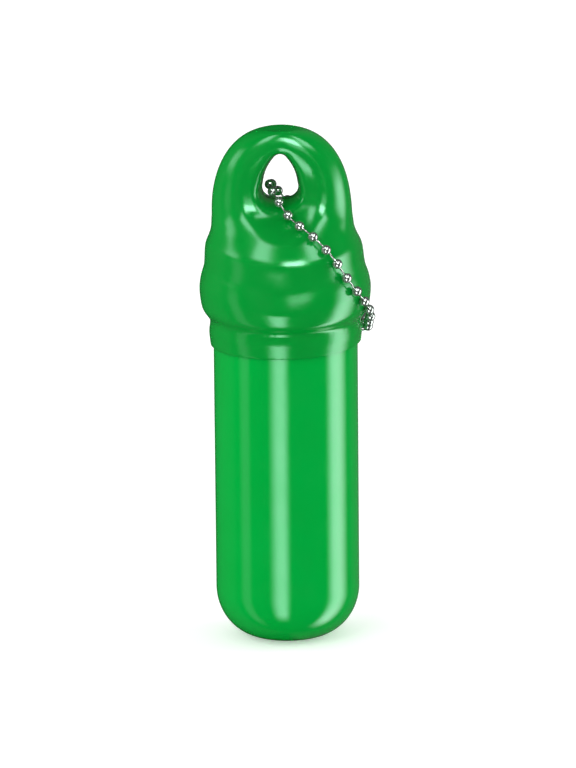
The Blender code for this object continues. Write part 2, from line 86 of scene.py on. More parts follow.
# %% [markdown]
# ## Floor and light
# A shiny object is mostly a picture of the room around it. Each highlight in the photograph tells where a
# light stood, because the surface under it turns the view a known way. So the room that the gloss sees is
# dark, with a soft-edged window in each of those directions. Three lamps and an even white fill light the
# colour itself. The floor is a plain pale plane that still takes the object's shadow.

# %% Helpers for materials
def new_material(name):
    material = bpy.data.materials.new(name)
    material.use_nodes = True
    tree = material.node_tree
    return material, tree.nodes, tree.links, tree.nodes["Principled BSDF"]


def add_node(nodes, kind, **settings):
    node = nodes.new(kind)
    for key, value in settings.items():
        if hasattr(node, key):
            setattr(node, key, value)
        else:
            node.inputs[key].default_value = value
    return node


# %% Lay the floor
FLOOR_GLOW = 0.35


def select_only(*items):
    bpy.ops.object.select_all(action="DESELECT")
    for item in items:
        item.select_set(True)
        bpy.context.view_layer.objects.active = item


bpy.ops.object.select_all(action="DESELECT")
bpy.ops.mesh.primitive_plane_add(size=6.0, location=(0.0, 0.0, 0.0))
floor = bpy.context.object
floor.name = "floor"
floor.visible_glossy = False

paper, nodes, links, shader = new_material("pale_floor")
shader.inputs["Base Color"].default_value = (0.90, 0.90, 0.90, 1.0)
shader.inputs["Roughness"].default_value = 0.9
shader.inputs["Specular IOR Level"].default_value = 0.0
path = add_node(nodes, "ShaderNodeLightPath")
glow = add_node(nodes, "ShaderNodeEmission")
glow.inputs["Color"].default_value = (1.0, 1.0, 1.0, 1.0)
seen = add_node(nodes, "ShaderNodeMath", operation="MAXIMUM")
links.new(path.outputs["Is Camera Ray"], seen.inputs[0])
links.new(path.outputs["Is Transmission Ray"], seen.inputs[1])
level = add_node(nodes, "ShaderNodeMath", operation="MULTIPLY")
level.inputs[1].default_value = FLOOR_GLOW
links.new(seen.outputs[0], level.inputs[0])
links.new(level.outputs[0], glow.inputs["Strength"])
both = add_node(nodes, "ShaderNodeAddShader")
links.new(shader.outputs[0], both.inputs[0])
links.new(glow.outputs[0], both.inputs[1])
links.new(both.outputs[0], nodes["Material Output"].inputs["Surface"])
floor.data.materials.append(paper)
print("floor", floor.name)

# %% Helpers for the room
world = bpy.data.worlds.new("studio")
bpy.context.scene.world = world
world.use_nodes = True
world.cycles.sampling_method = "NONE"
nodes, links = world.node_tree.nodes, world.node_tree.links
coords = add_node(nodes, "ShaderNodeTexCoord")
split = add_node(nodes, "ShaderNodeSeparateXYZ")
links.new(coords.outputs["Generated"], split.inputs[0])


def math_node(operation, *values):
    node = add_node(nodes, "ShaderNodeMath", operation=operation)
    for socket, value in zip(node.inputs, values):
        if isinstance(value, (int, float)):
            socket.default_value = value
        else:
            links.new(value, socket)
    return node.outputs[0]


def soft_step(value, start, end):
    node = add_node(nodes, "ShaderNodeMapRange", interpolation_type="SMOOTHSTEP")
    node.inputs["From Min"].default_value = math.radians(start)
    node.inputs["From Max"].default_value = math.radians(end)
    links.new(value, node.inputs["Value"])
    return node.outputs["Result"]


toward_camera = math_node("MULTIPLY", split.outputs["Y"], -1.0)
azimuth = math_node("ARCTAN2", split.outputs["X"], toward_camera)
elevation = math_node("ARCSINE", split.outputs["Z"])


def window(left, right, low, high, strength):
    """A soft-edged patch of light, each edge given as the two angles that it fades between."""
    sides = math_node("MULTIPLY", soft_step(azimuth, *left), soft_step(azimuth, *right))
    ends = math_node("MULTIPLY", soft_step(elevation, *low), soft_step(elevation, *high))
    return math_node("MULTIPLY", math_node("MULTIPLY", sides, ends), strength)


# %% Set the windows
patches = [
    # The middle strip of the tube and the skirt.
    window((-31, -12), (7, -7), (-64, -40), (-8, -12), 8.5),
    # The bright lens under the shoulder.
    window((-5, 5), (36, 24), (25, 31), (48, 40), 24.0),
    # The faint curve below it.
    window((0, 8), (34, 24), (11, 17), (30, 24), 3.5),
    # The crest of the arch and the rim of the bowl, on the left and on the right.
    window((-54, -44), (-14, -27), (34, 44), (82, 68), 7.5),
    window((34, 44), (64, 56), (31, 38), (70, 58), 8.5),
    # The soft patch on the left of the shoulder.
    window((-100, -88), (-66, -74), (14, 22), (38, 30), 4.0),
    # The right strip of the tube, and its weak twin on the left.
    window((64, 82), (116, 88), (-72, -46), (20, 4), 8.0),
    window((-84, -72), (-58, -66), (-72, -46), (20, 4), 0.9),
    # The dim room behind the float, which shows along its edges.
    window((-179, -95), (-85, -100), (-90, -80), (80, 60), 0.10),
    window((110, 130), (180, 170), (-90, -80), (80, 60), 0.10),
]
DARK_ROOM = 0.01
reflected = DARK_ROOM
for patch in patches:
    reflected = math_node("ADD", patch, reflected)
print("windows", len(patches))

# %% Choose what each ray sees
FILL_STRENGTH = 0.70
path = add_node(nodes, "ShaderNodeLightPath")
gloss = nodes["Background"]
links.new(reflected, gloss.inputs["Strength"])
gloss.inputs["Color"].default_value = (1.0, 1.0, 1.0, 1.0)
fill = add_node(nodes, "ShaderNodeBackground")
fill.inputs["Strength"].default_value = FILL_STRENGTH
backdrop = add_node(nodes, "ShaderNodeBackground")
for shade in (fill, backdrop):
    shade.inputs["Color"].default_value = (1.0, 1.0, 1.0, 1.0)
shiny = add_node(nodes, "ShaderNodeMixShader")
links.new(path.outputs["Is Glossy Ray"], shiny.inputs[0])
links.new(fill.outputs[0], shiny.inputs[1])
links.new(gloss.outputs[0], shiny.inputs[2])
seen = math_node("MAXIMUM", path.outputs["Is Camera Ray"], path.outputs["Is Transmission Ray"])
choose = add_node(nodes, "ShaderNodeMixShader")
links.new(seen, choose.inputs[0])
links.new(shiny.outputs[0], choose.inputs[1])
links.new(backdrop.outputs[0], choose.inputs[2])
links.new(choose.outputs[0], nodes["World Output"].inputs["Surface"])
print("fill", FILL_STRENGTH)


# %% Hang the lamps
def softbox(name, azimuth, elevation, distance, width, height, power):
    """A rectangular lamp at an azimuth to the right of the camera, aimed at the middle of the float."""
    lamp_data = bpy.data.lights.new(name, "AREA")
    lamp_data.shape = "RECTANGLE"
    lamp_data.size = width
    lamp_data.size_y = height
    lamp_data.energy = power
    lamp = bpy.data.objects.new(name, lamp_data)
    bpy.context.scene.collection.objects.link(lamp)
    turn, rise = math.radians(azimuth), math.radians(elevation)
    out = Vector((math.sin(turn) * math.cos(rise), -math.cos(turn) * math.cos(rise), math.sin(rise)))
    lamp.location = LOOK_AT + out * distance
    lamp.rotation_euler = out.to_track_quat("Z", "Y").to_euler()
    lamp.visible_glossy = False
    return lamp


softbox("key_softbox", -35.0, 30.0, 1.5, 0.9, 1.2, 6.0)
softbox("side_softbox", 100.0, 15.0, 1.2, 0.60, 1.2, 6.0)
softbox("far_softbox", -105.0, 10.0, 1.2, 0.60, 1.2, 5.0)
view = bpy.context.scene.view_settings
view.view_transform = "Standard"

# %% [markdown]
# ## Modelling helpers
# Most pieces here are round, so they are turned: a ring of points is extruded up, and each new ring is
# scaled to the radius that the outline has there. It is what a lathe or a blow mould does, and every ring
# can be placed exactly.

# %% Turn an outline
def pick(test):
    """In edit mode, select the points that pass a test on their place, and nothing else."""
    mesh = bpy.context.edit_object.data
    shape = bmesh.from_edit_mesh(mesh)
    shape.select_mode = {"VERT"}
    for vert in shape.verts:
        vert.select = bool(test(vert.co))
    shape.select_flush_mode()
    bmesh.update_edit_mesh(mesh)


def extrude_ring(rise, scale, height):
    bpy.ops.mesh.extrude_edges_move(TRANSFORM_OT_translate={"value": (0.0, 0.0, rise)})
    bpy.ops.transform.resize(value=(scale, scale, 1.0), center_override=(0.0, 0.0, height))


def close_ring(height):
    """Draw the selected ring in to a pole on the axis."""
    bpy.ops.mesh.extrude_edges_move(TRANSFORM_OT_translate={"value": (0.0, 0.0, 0.0)})
    bpy.ops.mesh.merge(type="CENTER")


def turn_outline(name, outline, sides):
    """A closed solid turned from (radius, height) points, the first and last being rings about the axis."""
    bpy.ops.object.select_all(action="DESELECT")
    (radius, height), *rest = outline
    bpy.ops.mesh.primitive_circle_add(vertices=sides, radius=radius, location=(0.0, 0.0, height))
    item = bpy.context.object
    item.name = name
    bpy.ops.object.transform_apply(location=True, rotation=True, scale=True)
    bpy.ops.object.mode_set(mode="EDIT")
    bpy.ops.mesh.select_mode(type="VERT")
    bpy.ops.mesh.select_all(action="SELECT")
    close_ring(height)
    pole = 1e-7
    pick(lambda place: math.hypot(place.x, place.y) > pole)
    for next_radius, next_height in rest:
        extrude_ring(next_height - height, next_radius / radius, next_height)
        radius, height = next_radius, next_height
    close_ring(height)
    bpy.ops.mesh.select_all(action="SELECT")
    bpy.ops.mesh.normals_make_consistent(inside=False)
    bpy.ops.object.mode_set(mode="OBJECT")
    return item


def apply_modifiers(item):
    select_only(item)
    for modifier in list(item.modifiers):
        bpy.ops.object.modifier_apply(modifier=modifier.name)


def triangles(item):
    return sum(len(face.vertices) - 2 for face in item.data.polygons)


def finish_piece(item, body, node, material, smooth_below=35.0):
    select_only(item)
    bpy.ops.object.shade_smooth_by_angle(angle=math.radians(smooth_below))
    item.data.materials.clear()
    item.data.materials.append(material)
    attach(item, body)
    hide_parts(node)


# %% [markdown]
# ## Vinyl
# Both green pieces are soft vinyl with a wet-looking gloss. Nothing on them is woven or painted: what makes
# them look real is a surface that is never quite flat, so the reflections wander, with a faint cloudiness in
# the colour and a few dull places where hands have held it. Noise at three sizes gives these. The tube's
# greens are set lighter than the cap's, a painted reflection of the light that its upright sides catch.

# %% Mix the vinyl
CLOUD_SCALE, WEAR_SCALE, WAVE_SCALE = 90.0, 260.0, 140.0
WORN_ROUGHNESS = 0.07
VINYL_IOR = 1.50
VINYL_GLOSS_TINT = (0.58, 1.0, 0.84, 1.0)


def vinyl(name, deep, bright, roughness, ripple, gloss):
    """A vinyl between two greens, with a ripple of a given height in its surface."""
    material, nodes, links, shader = new_material(name)
    coords = add_node(nodes, "ShaderNodeTexCoord")
    cloud = add_node(nodes, "ShaderNodeTexNoise")
    cloud.inputs["Scale"].default_value = CLOUD_SCALE
    cloud.inputs["Detail"].default_value = 3.0
    links.new(coords.outputs["Object"], cloud.inputs["Vector"])
    colour = add_node(nodes, "ShaderNodeMix", data_type="RGBA")
    colour.inputs["A"].default_value = deep
    colour.inputs["B"].default_value = bright
    links.new(cloud.outputs["Fac"], colour.inputs["Factor"])
    links.new(colour.outputs["Result"], shader.inputs["Base Color"])
    wear = add_node(nodes, "ShaderNodeTexNoise")
    wear.inputs["Scale"].default_value = WEAR_SCALE
    wear.inputs["Detail"].default_value = 5.0
    links.new(coords.outputs["Object"], wear.inputs["Vector"])
    dull = add_node(nodes, "ShaderNodeMapRange")
    dull.inputs["From Min"].default_value = 0.35
    dull.inputs["From Max"].default_value = 0.75
    dull.inputs["To Min"].default_value = roughness
    dull.inputs["To Max"].default_value = roughness + WORN_ROUGHNESS
    links.new(wear.outputs["Fac"], dull.inputs["Value"])
    links.new(dull.outputs["Result"], shader.inputs["Roughness"])
    wave = add_node(nodes, "ShaderNodeTexNoise")
    wave.inputs["Scale"].default_value = WAVE_SCALE
    wave.inputs["Detail"].default_value = 1.5
    links.new(coords.outputs["Object"], wave.inputs["Vector"])
    bump = add_node(nodes, "ShaderNodeBump")
    bump.inputs["Strength"].default_value = 0.5
    bump.inputs["Distance"].default_value = ripple
    links.new(wave.outputs["Fac"], bump.inputs["Height"])
    links.new(bump.outputs["Normal"], shader.inputs["Normal"])
    shader.inputs["IOR"].default_value = VINYL_IOR
    shader.inputs["Specular IOR Level"].default_value = gloss
    shader.inputs["Specular Tint"].default_value = VINYL_GLOSS_TINT
    return material


# The tube's greens are lighter than the cap's: painted reflected light, since both are one vinyl.
BODY_GREENS_PAINTED_LIGHTER = (0.0, 0.390, 0.044, 1.0), (0.0005, 0.430, 0.056, 1.0)
CAP_GREENS = (0.0, 0.295, 0.030, 1.0), (0.0005, 0.335, 0.038, 1.0)
BODY_VINYL = vinyl("body_vinyl", *BODY_GREENS_PAINTED_LIGHTER, roughness=0.08, ripple=0.05 * MM, gloss=0.5)
CAP_VINYL = vinyl("cap_vinyl", *CAP_GREENS, roughness=0.15, ripple=0.03 * MM, gloss=0.54)
print("vinyl", BODY_VINYL.name, CAP_VINYL.name)

# %% [markdown]
# ## Float body
# The tube is blown in a two-part mould, so it has one thin wall all round, a flat foot to stand on with a
# wide rounded corner, and a hair-thin parting line up its side. The outline runs up the outside, over the
# open neck and down the inside.

# %% Turn the tube
BODY_RADIUS = 14.4 * MM
BODY_WALL = 1.6 * MM
BODY_TOP = 68.0 * MM
FOOT_RADIUS = 5.2 * MM
FOOT_CORNER = 10.2 * MM
BODY_SIDES = 256
CORNER_STEPS, INNER_STEPS, SIDE_RINGS = 28, 12, 22


def foot_corner(foot, radius, height, base, steps):
    points = []
    for step in range(steps + 1):
        angle = math.pi / 2 * step / steps
        out = foot + (radius - foot) * math.sin(angle)
        points.append((out, base + height * (1 - math.cos(angle))))
    return points


outside = foot_corner(FOOT_RADIUS, BODY_RADIUS, FOOT_CORNER, 0.0, CORNER_STEPS)
for ring in range(1, SIDE_RINGS + 1):
    outside.append((BODY_RADIUS, FOOT_CORNER + (BODY_TOP - FOOT_CORNER) * ring / SIDE_RINGS))
bore_radius, bore_corner = BODY_RADIUS - BODY_WALL, FOOT_CORNER - BODY_WALL
inside = foot_corner(FOOT_RADIUS - BODY_WALL / 2, bore_radius, bore_corner, BODY_WALL, INNER_STEPS)
outline = [(FOOT_RADIUS * 0.5, 0.0)] + outside + [(bore_radius, BODY_TOP)] + inside[::-1]
tube = turn_outline("tube", outline, BODY_SIDES)
print("tube triangles", triangles(tube))


# %% Raise the parting line
PARTING_TURN = math.radians(-109.6)
PARTING_RISE = 0.035 * MM
PARTING_HALF_WIDTH = 0.30 * MM


def parting_height(place, height, half_width):
    """How far the parting line stands out at a place, on both sides of the mould."""
    across = abs(place.x * math.sin(PARTING_TURN) - place.y * math.cos(PARTING_TURN))
    return height * max(0.0, 1.0 - across / half_width)


def raise_parting(item, height, half_width, inside_radius):
    for vert in item.data.vertices:
        out = Vector((vert.co.x, vert.co.y, 0.0))
        if out.length > inside_radius:
            vert.co += out.normalized() * parting_height(vert.co, height, half_width)


raise_parting(tube, PARTING_RISE, PARTING_HALF_WIDTH, BODY_RADIUS - BODY_WALL / 2)
finish_piece(tube, "float", "float_body", BODY_VINYL)
print("parting line", round(PARTING_RISE / MM, 3), "mm high")

# %% [markdown]
# ## Eye cap
# The cap is one soft moulding: a skirt that grips the tube, a bulge that sags at front and back, and a
# flattened boss. The eye goes through the boss, in a pear-shaped bowl with a low collar round the mouth, and
# a small notch marks the crown. The sections change from circles to rounded rectangles on the way up, which
# no single transform does. So a tall stack of rings is extruded first, and then each ring is laid onto the
# section for its height. The skirt's edge is trimmed last, by a block whose top leans a little.

# %% Outline of the cap
CAP_FIT = 0.2 * MM
SKIRT_EDGE = 59.4 * MM
CREASE = 64.8 * MM
WIDEST = 71.6 * MM
SHOULDER = 79.0 * MM
BOSS_BASE = 86.0 * MM
EYE_TOP = 103.6 * MM
SKIRT_OUTLINE = [
    (59.4, 14.75),
    (59.9, 15.0),
    (61.2, 15.13),
    (62.4, 15.27),
    (63.4, 15.2),
    (64.2, 15.05),
    (64.8, 15.0),
]
BULGE_OUTLINE = [
    (64.9, 15.0),
    (65.6, 15.3),
    (66.6, 16.1),
    (67.9, 16.7),
    (71.6, 17.1),
    (74.2, 16.7),
    (76.0, 16.1),
    (77.6, 15.9),
    (79.0, 15.8),
    (80.6, 15.55),
    (82.2, 14.8),
    (83.8, 14.25),
    (86.0, 14.1),
]
SHOULDER_RADIUS = 15.8 * MM
BOSS_WIDTH = 14.0 * MM
BOSS_DEPTH = 9.35 * MM
CROWN_DEPTH = 6.2 * MM
CROWN_LAND = 1.9 * MM
ROUNDNESS = 2.235
LEAN = -0.6 * MM
SAG = 3.0 * MM
SAG_TOP = 84.0 * MM
SAG_REACH = 65
SAG_SKEW = 0.6
print("outline points", len(SKIRT_OUTLINE) + len(BULGE_OUTLINE))


# %% Width of the cap at a height
def smooth_value(points, at):
    """The value of a smooth curve through (place, value) points."""
    if at <= points[0][0]:
        return points[0][1]
    if at >= points[-1][0]:
        return points[-1][1]
    span = max(n for n in range(len(points) - 1) if points[n][0] <= at)

    def slope(n):
        before, after = points[max(n - 1, 0)], points[min(n + 1, len(points) - 1)]
        return (after[1] - before[1]) / (after[0] - before[0])

    (start, low), (end, high) = points[span], points[span + 1]
    width = end - start
    t = (at - start) / width
    blend = 3 * t * t - 2 * t**3
    bend = slope(span) * width * (t - 2 * t * t + t**3) + slope(span + 1) * width * (t**3 - t * t)
    return low + (high - low) * blend + bend


def crown(height):
    share = (height - BOSS_BASE) / (EYE_TOP - BOSS_BASE)
    return (1 - min(share, 1.0) ** ROUNDNESS) ** (1 / ROUNDNESS)


def sag(angle, height):
    """How much lower the bulge hangs on the front and back of the cap than at its sides."""
    away = abs(math.cos(angle))
    turned = math.asin(min(away, 1.0)) * 90 / SAG_REACH
    spread = math.cos(turned) ** 2 if turned < math.pi / 2 else 0.0
    share = (height - CREASE) / (SAG_TOP - CREASE)
    if not 0.0 < share < 1.0:
        return 0.0
    return SAG * spread * math.sin(math.pi * share**SAG_SKEW) ** 2


def half_width(height):
    if height > BOSS_BASE:
        return CROWN_LAND + (BOSS_WIDTH - CROWN_LAND) * crown(height)
    points = SKIRT_OUTLINE if height <= CREASE else BULGE_OUTLINE
    return smooth_value(points, height / MM) * MM


print("widest half width", round(half_width(WIDEST) / MM, 2), "mm")

# %% Measures of the eye and its bowl
EYE_HEIGHT = 91.8 * MM
EYE_MIDDLE = -0.8 * MM
EYE_SPREAD = 1.2 * MM
EYE_RADIUS = 2.4 * MM
EYE_PEAK_RISE = 5.55 * MM
EYE_PEAK_RADIUS = 1.35 * MM
EYE_SIDE_BULGE = 0.45 * MM
BOWL_SHARE = 0.50
BOWL_X, BOWL_Z, BOWL_RADIUS = -0.4 * MM, 91.8 * MM, 9.7 * MM
BOWL_PEAK_X, BOWL_PEAK_Z, BOWL_PEAK_RADIUS = -0.9 * MM, 100.6 * MM, 2.2 * MM
BOWL_SLOPE = 6.8 * MM
BOWL_CURVE = 1.7
CROWN_WALL = 4.9 * MM
LIP_RISE = 0.30 * MM
LIP_AT = 1.15 * MM
LIP_DRIFT = 0.9 * MM
LIP_WIDTH = 0.60 * MM
LIP_END = 98.5 * MM
LIP_FADE = 6.0 * MM
NOTCH_X, NOTCH_Y = -1.1 * MM, -1.5 * MM
NOTCH_WIDTH = 1.2 * MM
NOTCH_DEPTH = 0.5 * MM
CROWN_PINCH = 0.40
CROWN_FLATNESS = 0.64
print("eye", round(EYE_HEIGHT / MM, 1), "mm above the foot")


# %% Depth of the boss at a height
def half_depth(height):
    if height <= SHOULDER:
        return half_width(height)
    rise = EYE_TOP - BOSS_BASE
    points = [
        (SHOULDER - 2 * MM, SHOULDER_RADIUS),
        (SHOULDER, SHOULDER_RADIUS),
        (SHOULDER + 0.5 * MM, SHOULDER_RADIUS - 0.08 * MM),
        (SHOULDER + 1.3 * MM, SHOULDER_RADIUS - 0.6 * MM),
        (
            SHOULDER + (BOSS_BASE - SHOULDER) * 0.35,
            SHOULDER_RADIUS - (SHOULDER_RADIUS - BOSS_DEPTH) * 0.24,
        ),
        (BOSS_BASE + rise * 0.08, BOSS_DEPTH),
        (BOSS_BASE + rise * 0.45, (BOSS_DEPTH + CROWN_DEPTH) / 2),
        (EYE_TOP, CROWN_DEPTH),
    ]
    depth = smooth_value(points, height)
    if height <= BOSS_BASE:
        return depth
    return depth * (1 - CROWN_PINCH + CROWN_PINCH * crown(height) ** CROWN_FLATNESS)


print("boss half depth at the eye", round(half_depth(EYE_HEIGHT) / MM, 2), "mm")


# %% Where the eye and the bowl lie
def clamp(value):
    return min(max(value, 0.0), 1.0)


def eye_circles(grow):
    """The corners of the eye's rounded triangle, each as its middle and radius."""
    low, peak = EYE_RADIUS + grow, EYE_PEAK_RADIUS + grow
    return [
        (EYE_MIDDLE - EYE_SPREAD, EYE_HEIGHT, low),
        (EYE_MIDDLE + EYE_SPREAD, EYE_HEIGHT, low),
        (EYE_MIDDLE, EYE_HEIGHT + EYE_PEAK_RISE, peak),
    ]


def eye_reach(x, z):
    """How far a place is from the eye, seen from the front."""
    corners = [Vector((cx, cz)) for cx, cz, _ in eye_circles(0.0)]
    place = Vector((x, z))
    nearest = 1.0
    for start, end in zip(corners, corners[1:] + corners[:1]):
        line = end - start
        share = clamp((place - start).dot(line) / line.length_squared)
        nearest = min(nearest, (place - start - line * share).length)
    return max(nearest - EYE_RADIUS, 0.0)


def bowl_reach(x, z):
    """How far inside the bowl's pear-shaped rim a place is, seen from the front."""
    start, end = Vector((BOWL_X, BOWL_Z)), Vector((BOWL_PEAK_X, BOWL_PEAK_Z))
    line, place = end - start, Vector((x, z)) - start
    along = place.dot(line) / line.length
    across = abs(place.x * line.y - place.y * line.x) / line.length
    lean = (BOWL_RADIUS - BOWL_PEAK_RADIUS) / line.length
    rise = math.sqrt(1 - lean * lean)
    spot = rise * along - lean * across
    if spot < 0:
        return BOWL_RADIUS - place.length
    if spot > rise * line.length:
        return BOWL_PEAK_RADIUS - (place - line).length
    return BOWL_RADIUS - rise * across - lean * along


print("bowl depth at the eye", round(bowl_reach(EYE_MIDDLE, EYE_HEIGHT) / MM, 2), "mm inside its rim")


# %% Place of a point on the cap
def lip_height(reach, height, aside):
    """How far the collar round the eye's mouth stands out."""
    middle = LIP_AT + LIP_DRIFT * (1 - aside.x / max(aside.length, MM)) / 2
    low_side = clamp((LIP_END - height) / LIP_FADE)
    swell = LIP_RISE * math.exp(-(((reach - middle) / LIP_WIDTH) ** 2))
    return swell * low_side * low_side * (3 - 2 * low_side)


def notch_depth(x, y, height):
    if height <= EYE_TOP - CROWN_WALL:
        return 0.0
    from_middle = ((x - NOTCH_X) / NOTCH_WIDTH) ** 2
    return NOTCH_DEPTH * math.exp(-from_middle - ((y - NOTCH_Y) / NOTCH_WIDTH) ** 2)


def cap_place(angle, height):
    """A place on the cap's outside, at an angle from the right."""
    rise = clamp((height - SHOULDER) / (BOSS_BASE - SHOULDER))
    power = 2 / (2 + (ROUNDNESS - 2) * rise)
    lean_share = clamp((height - WIDEST) / (EYE_HEIGHT - WIDEST))
    lean = LEAN * lean_share * lean_share * (3 - 2 * lean_share)
    side, face = math.cos(angle), math.sin(angle)
    drawn = height + sag(angle, height)
    x = lean + half_width(drawn) * math.copysign(abs(side) ** power, side)
    y = half_depth(drawn) * math.copysign(abs(face) ** power, face)
    inward = clamp(bowl_reach(x, height) / BOWL_SLOPE)
    below_crown = clamp((EYE_TOP - height) / CROWN_WALL)
    hollow = BOWL_SHARE * inward**BOWL_CURVE * below_crown
    aside = Vector((x - EYE_MIDDLE, height - EYE_HEIGHT))
    lip = lip_height(eye_reach(x, height), height, aside)
    depth = y * (1 - hollow) + math.copysign(lip, y)
    return Vector((x, depth, height - notch_depth(x, y, height)))


print("crown", [round(value / MM, 1) for value in cap_place(math.pi / 2, EYE_TOP)])

# %% Extrude the stack of rings and lay it on the sections
CAP_SIDES = 240
BULGE_STEPS, CROWN_STEPS = 60, 48
levels = [height * MM for height, _ in SKIRT_OUTLINE]
start = BULGE_OUTLINE[0][0] * MM
levels += [start + (BOSS_BASE - start) * n / BULGE_STEPS for n in range(BULGE_STEPS + 1)]
for n in range(1, CROWN_STEPS + 1):
    levels.append(BOSS_BASE + (EYE_TOP - BOSS_BASE) * math.sin(math.pi / 2 * n / CROWN_STEPS))
cap = turn_outline("cap", [(SHOULDER_RADIUS, height) for height in levels], CAP_SIDES)
for vert in cap.data.vertices:
    if math.hypot(vert.co.x, vert.co.y) > MM:
        vert.co = cap_place(math.atan2(vert.co.y, vert.co.x), vert.co.z)
    else:
        vert.co.x = LEAN if vert.co.z > BOSS_BASE else 0.0
print("stacked cap triangles", triangles(cap))

# %% Turn the hollow of the cap
SEAT = 68.3 * MM
HOLLOW_RADIUS = 12.8 * MM
HOLLOW_TOP = 81.5 * MM
HOLLOW_SIDES = 128
DOME_STEPS = 12

bore = BODY_RADIUS + CAP_FIT
hollow_outline = [(bore, SKIRT_EDGE - MM), (bore, SEAT)]
for n in range(DOME_STEPS):
    angle = math.pi / 2 * n / DOME_STEPS
    up = SEAT + (HOLLOW_TOP - SEAT) * math.sin(angle)
    hollow_outline.append((HOLLOW_RADIUS * math.cos(angle), up))
hollow = turn_outline("hollow", hollow_outline, HOLLOW_SIDES)
print("hollow triangles", triangles(hollow))

# %% Outline of the eye
EYE_FLARE = 3.0 * MM
EYE_STEPS = 22
EYE_HALF_LENGTH = 7.25 * MM
EYE_OVERRUN = 3.4
FLARE_STEPS = 14
FLARE_END = 0.96


def eye_outline(grow, steps):
    """Points round the eye: an arc on each corner circle, joined by straight sides."""
    left, right, peak = eye_circles(grow)
    run = math.hypot(peak[0] - right[0], peak[1] - right[1])
    slant = math.atan2(peak[1] - right[1], peak[0] - right[0])
    side = slant - math.pi / 2 + math.asin((right[2] - peak[2]) / run)
    arcs = [
        (right, -math.pi / 2, side),
        (peak, side, math.pi - side),
        (left, math.pi - side, math.pi * 3 / 2),
    ]
    points = []
    for (x, z, radius), begin, end in arcs:
        start = Vector((x + radius * math.cos(begin), z + radius * math.sin(begin)))
        if points:
            out = Vector((math.cos(begin), math.sin(begin)))
            for n in range(1, steps):
                share = n / steps
                bow = EYE_SIDE_BULGE * 4 * share * (1 - share)
                points.append(last.lerp(start, share) + out * bow)
        for n in range(steps):
            angle = begin + (end - begin) * n / (steps - 1)
            last = Vector((x + radius * math.cos(angle), z + radius * math.sin(angle)))
            points.append(last)
    return points


print("points round the eye", len(eye_outline(0.0, EYE_STEPS)))


# %% Cut the hollow and the eye
def eye_flare(place):
    return EYE_FLARE * (1 - math.sqrt(1 - min(abs(place) * FLARE_END, FLARE_END) ** 2))


def eye_tool():
    """The space of the eye: narrow in the middle and flared to both faces."""
    places = [math.sin(math.pi / 2 * n / FLARE_STEPS) for n in range(-FLARE_STEPS, FLARE_STEPS + 1)]
    places = [-EYE_OVERRUN] + places + [EYE_OVERRUN]
    rings = [eye_outline(eye_flare(place), EYE_STEPS) for place in places]
    spokes = len(rings[0])
    bpy.ops.object.select_all(action="DESELECT")
    bpy.ops.mesh.primitive_circle_add(vertices=spokes, radius=MM)
    item = bpy.context.object
    item.name = "eye_tool"
    bpy.ops.object.mode_set(mode="EDIT")
    bpy.ops.mesh.select_all(action="SELECT")
    bpy.ops.mesh.edge_face_add()
    for _ in places[1:]:
        bpy.ops.mesh.extrude_region_move(TRANSFORM_OT_translate={"value": (0.0, 0.0, MM)})
    bpy.ops.object.mode_set(mode="OBJECT")
    for vert in item.data.vertices:
        ring = round(vert.co.z / MM)
        spoke = round(math.atan2(vert.co.y, vert.co.x) / math.tau * spokes) % spokes
        x, z = rings[ring][spoke]
        vert.co = (x, places[ring] * EYE_HALF_LENGTH, z)
    bpy.ops.object.mode_set(mode="EDIT")
    bpy.ops.mesh.select_all(action="SELECT")
    bpy.ops.mesh.normals_make_consistent(inside=False)
    bpy.ops.object.mode_set(mode="OBJECT")
    return item


tool = eye_tool()
for name, cutter in (("hollow", hollow), ("eye", tool)):
    cut = cap.modifiers.new(name, "BOOLEAN")
    cut.operation = "DIFFERENCE"
    cut.solver = "EXACT"
    cut.object = cutter
apply_modifiers(cap)
for cutter in (hollow, tool):
    bpy.data.objects.remove(cutter, do_unlink=True)
print("cut cap triangles", triangles(cap))

# %% Soften the moulding
SKIN_STEP = 0.31 * MM
SETTLE_PASSES, SOFTEN_PASSES = 10, 14
voxels = cap.modifiers.new("even_skin", "REMESH")
voxels.mode = "VOXEL"
voxels.voxel_size = SKIN_STEP
apply_modifiers(cap)
boss = cap.vertex_groups.new(name="boss")
boss.add([vert.index for vert in cap.data.vertices if vert.co.z > SHOULDER], 1.0, "REPLACE")
settle = cap.modifiers.new("settle", "SMOOTH")
settle.factor = 0.5
settle.iterations = SETTLE_PASSES
soften = cap.modifiers.new("soften", "SMOOTH")
soften.factor = 0.5
soften.iterations = SOFTEN_PASSES
soften.vertex_group = "boss"
apply_modifiers(cap)
cap.vertex_groups.clear()
print("softened cap triangles", triangles(cap))

# %% Trim the skirt's edge
TRIM_TURN = math.radians(1.5)
TRIM_TILT = math.radians(2.2)
TRIM_RISE = 1.05 * MM
BLOCK_WIDTH, BLOCK_HEIGHT = 60 * MM, 10 * MM
bpy.ops.object.select_all(action="DESELECT")
bpy.ops.mesh.primitive_cube_add(size=1.0)
block = bpy.context.object
block.data.transform(Matrix.Diagonal((BLOCK_WIDTH, BLOCK_WIDTH, BLOCK_HEIGHT, 1.0)))
block.data.transform(Matrix.Translation((0.0, 0.0, -BLOCK_HEIGHT / 2)))
block.data.transform(Matrix.Rotation(-TRIM_TURN, 4, "Y") @ Matrix.Rotation(TRIM_TILT, 4, "X"))
block.data.transform(Matrix.Translation((0.0, 0.0, SKIRT_EDGE + TRIM_RISE)))
trim = cap.modifiers.new("trim", "BOOLEAN")
trim.operation = "DIFFERENCE"
trim.solver = "EXACT"
trim.object = block
apply_modifiers(cap)
bpy.data.objects.remove(block, do_unlink=True)
finish_piece(cap, "float", "eye_cap", CAP_VINYL, smooth_below=60.0)
print("cap triangles", triangles(cap))

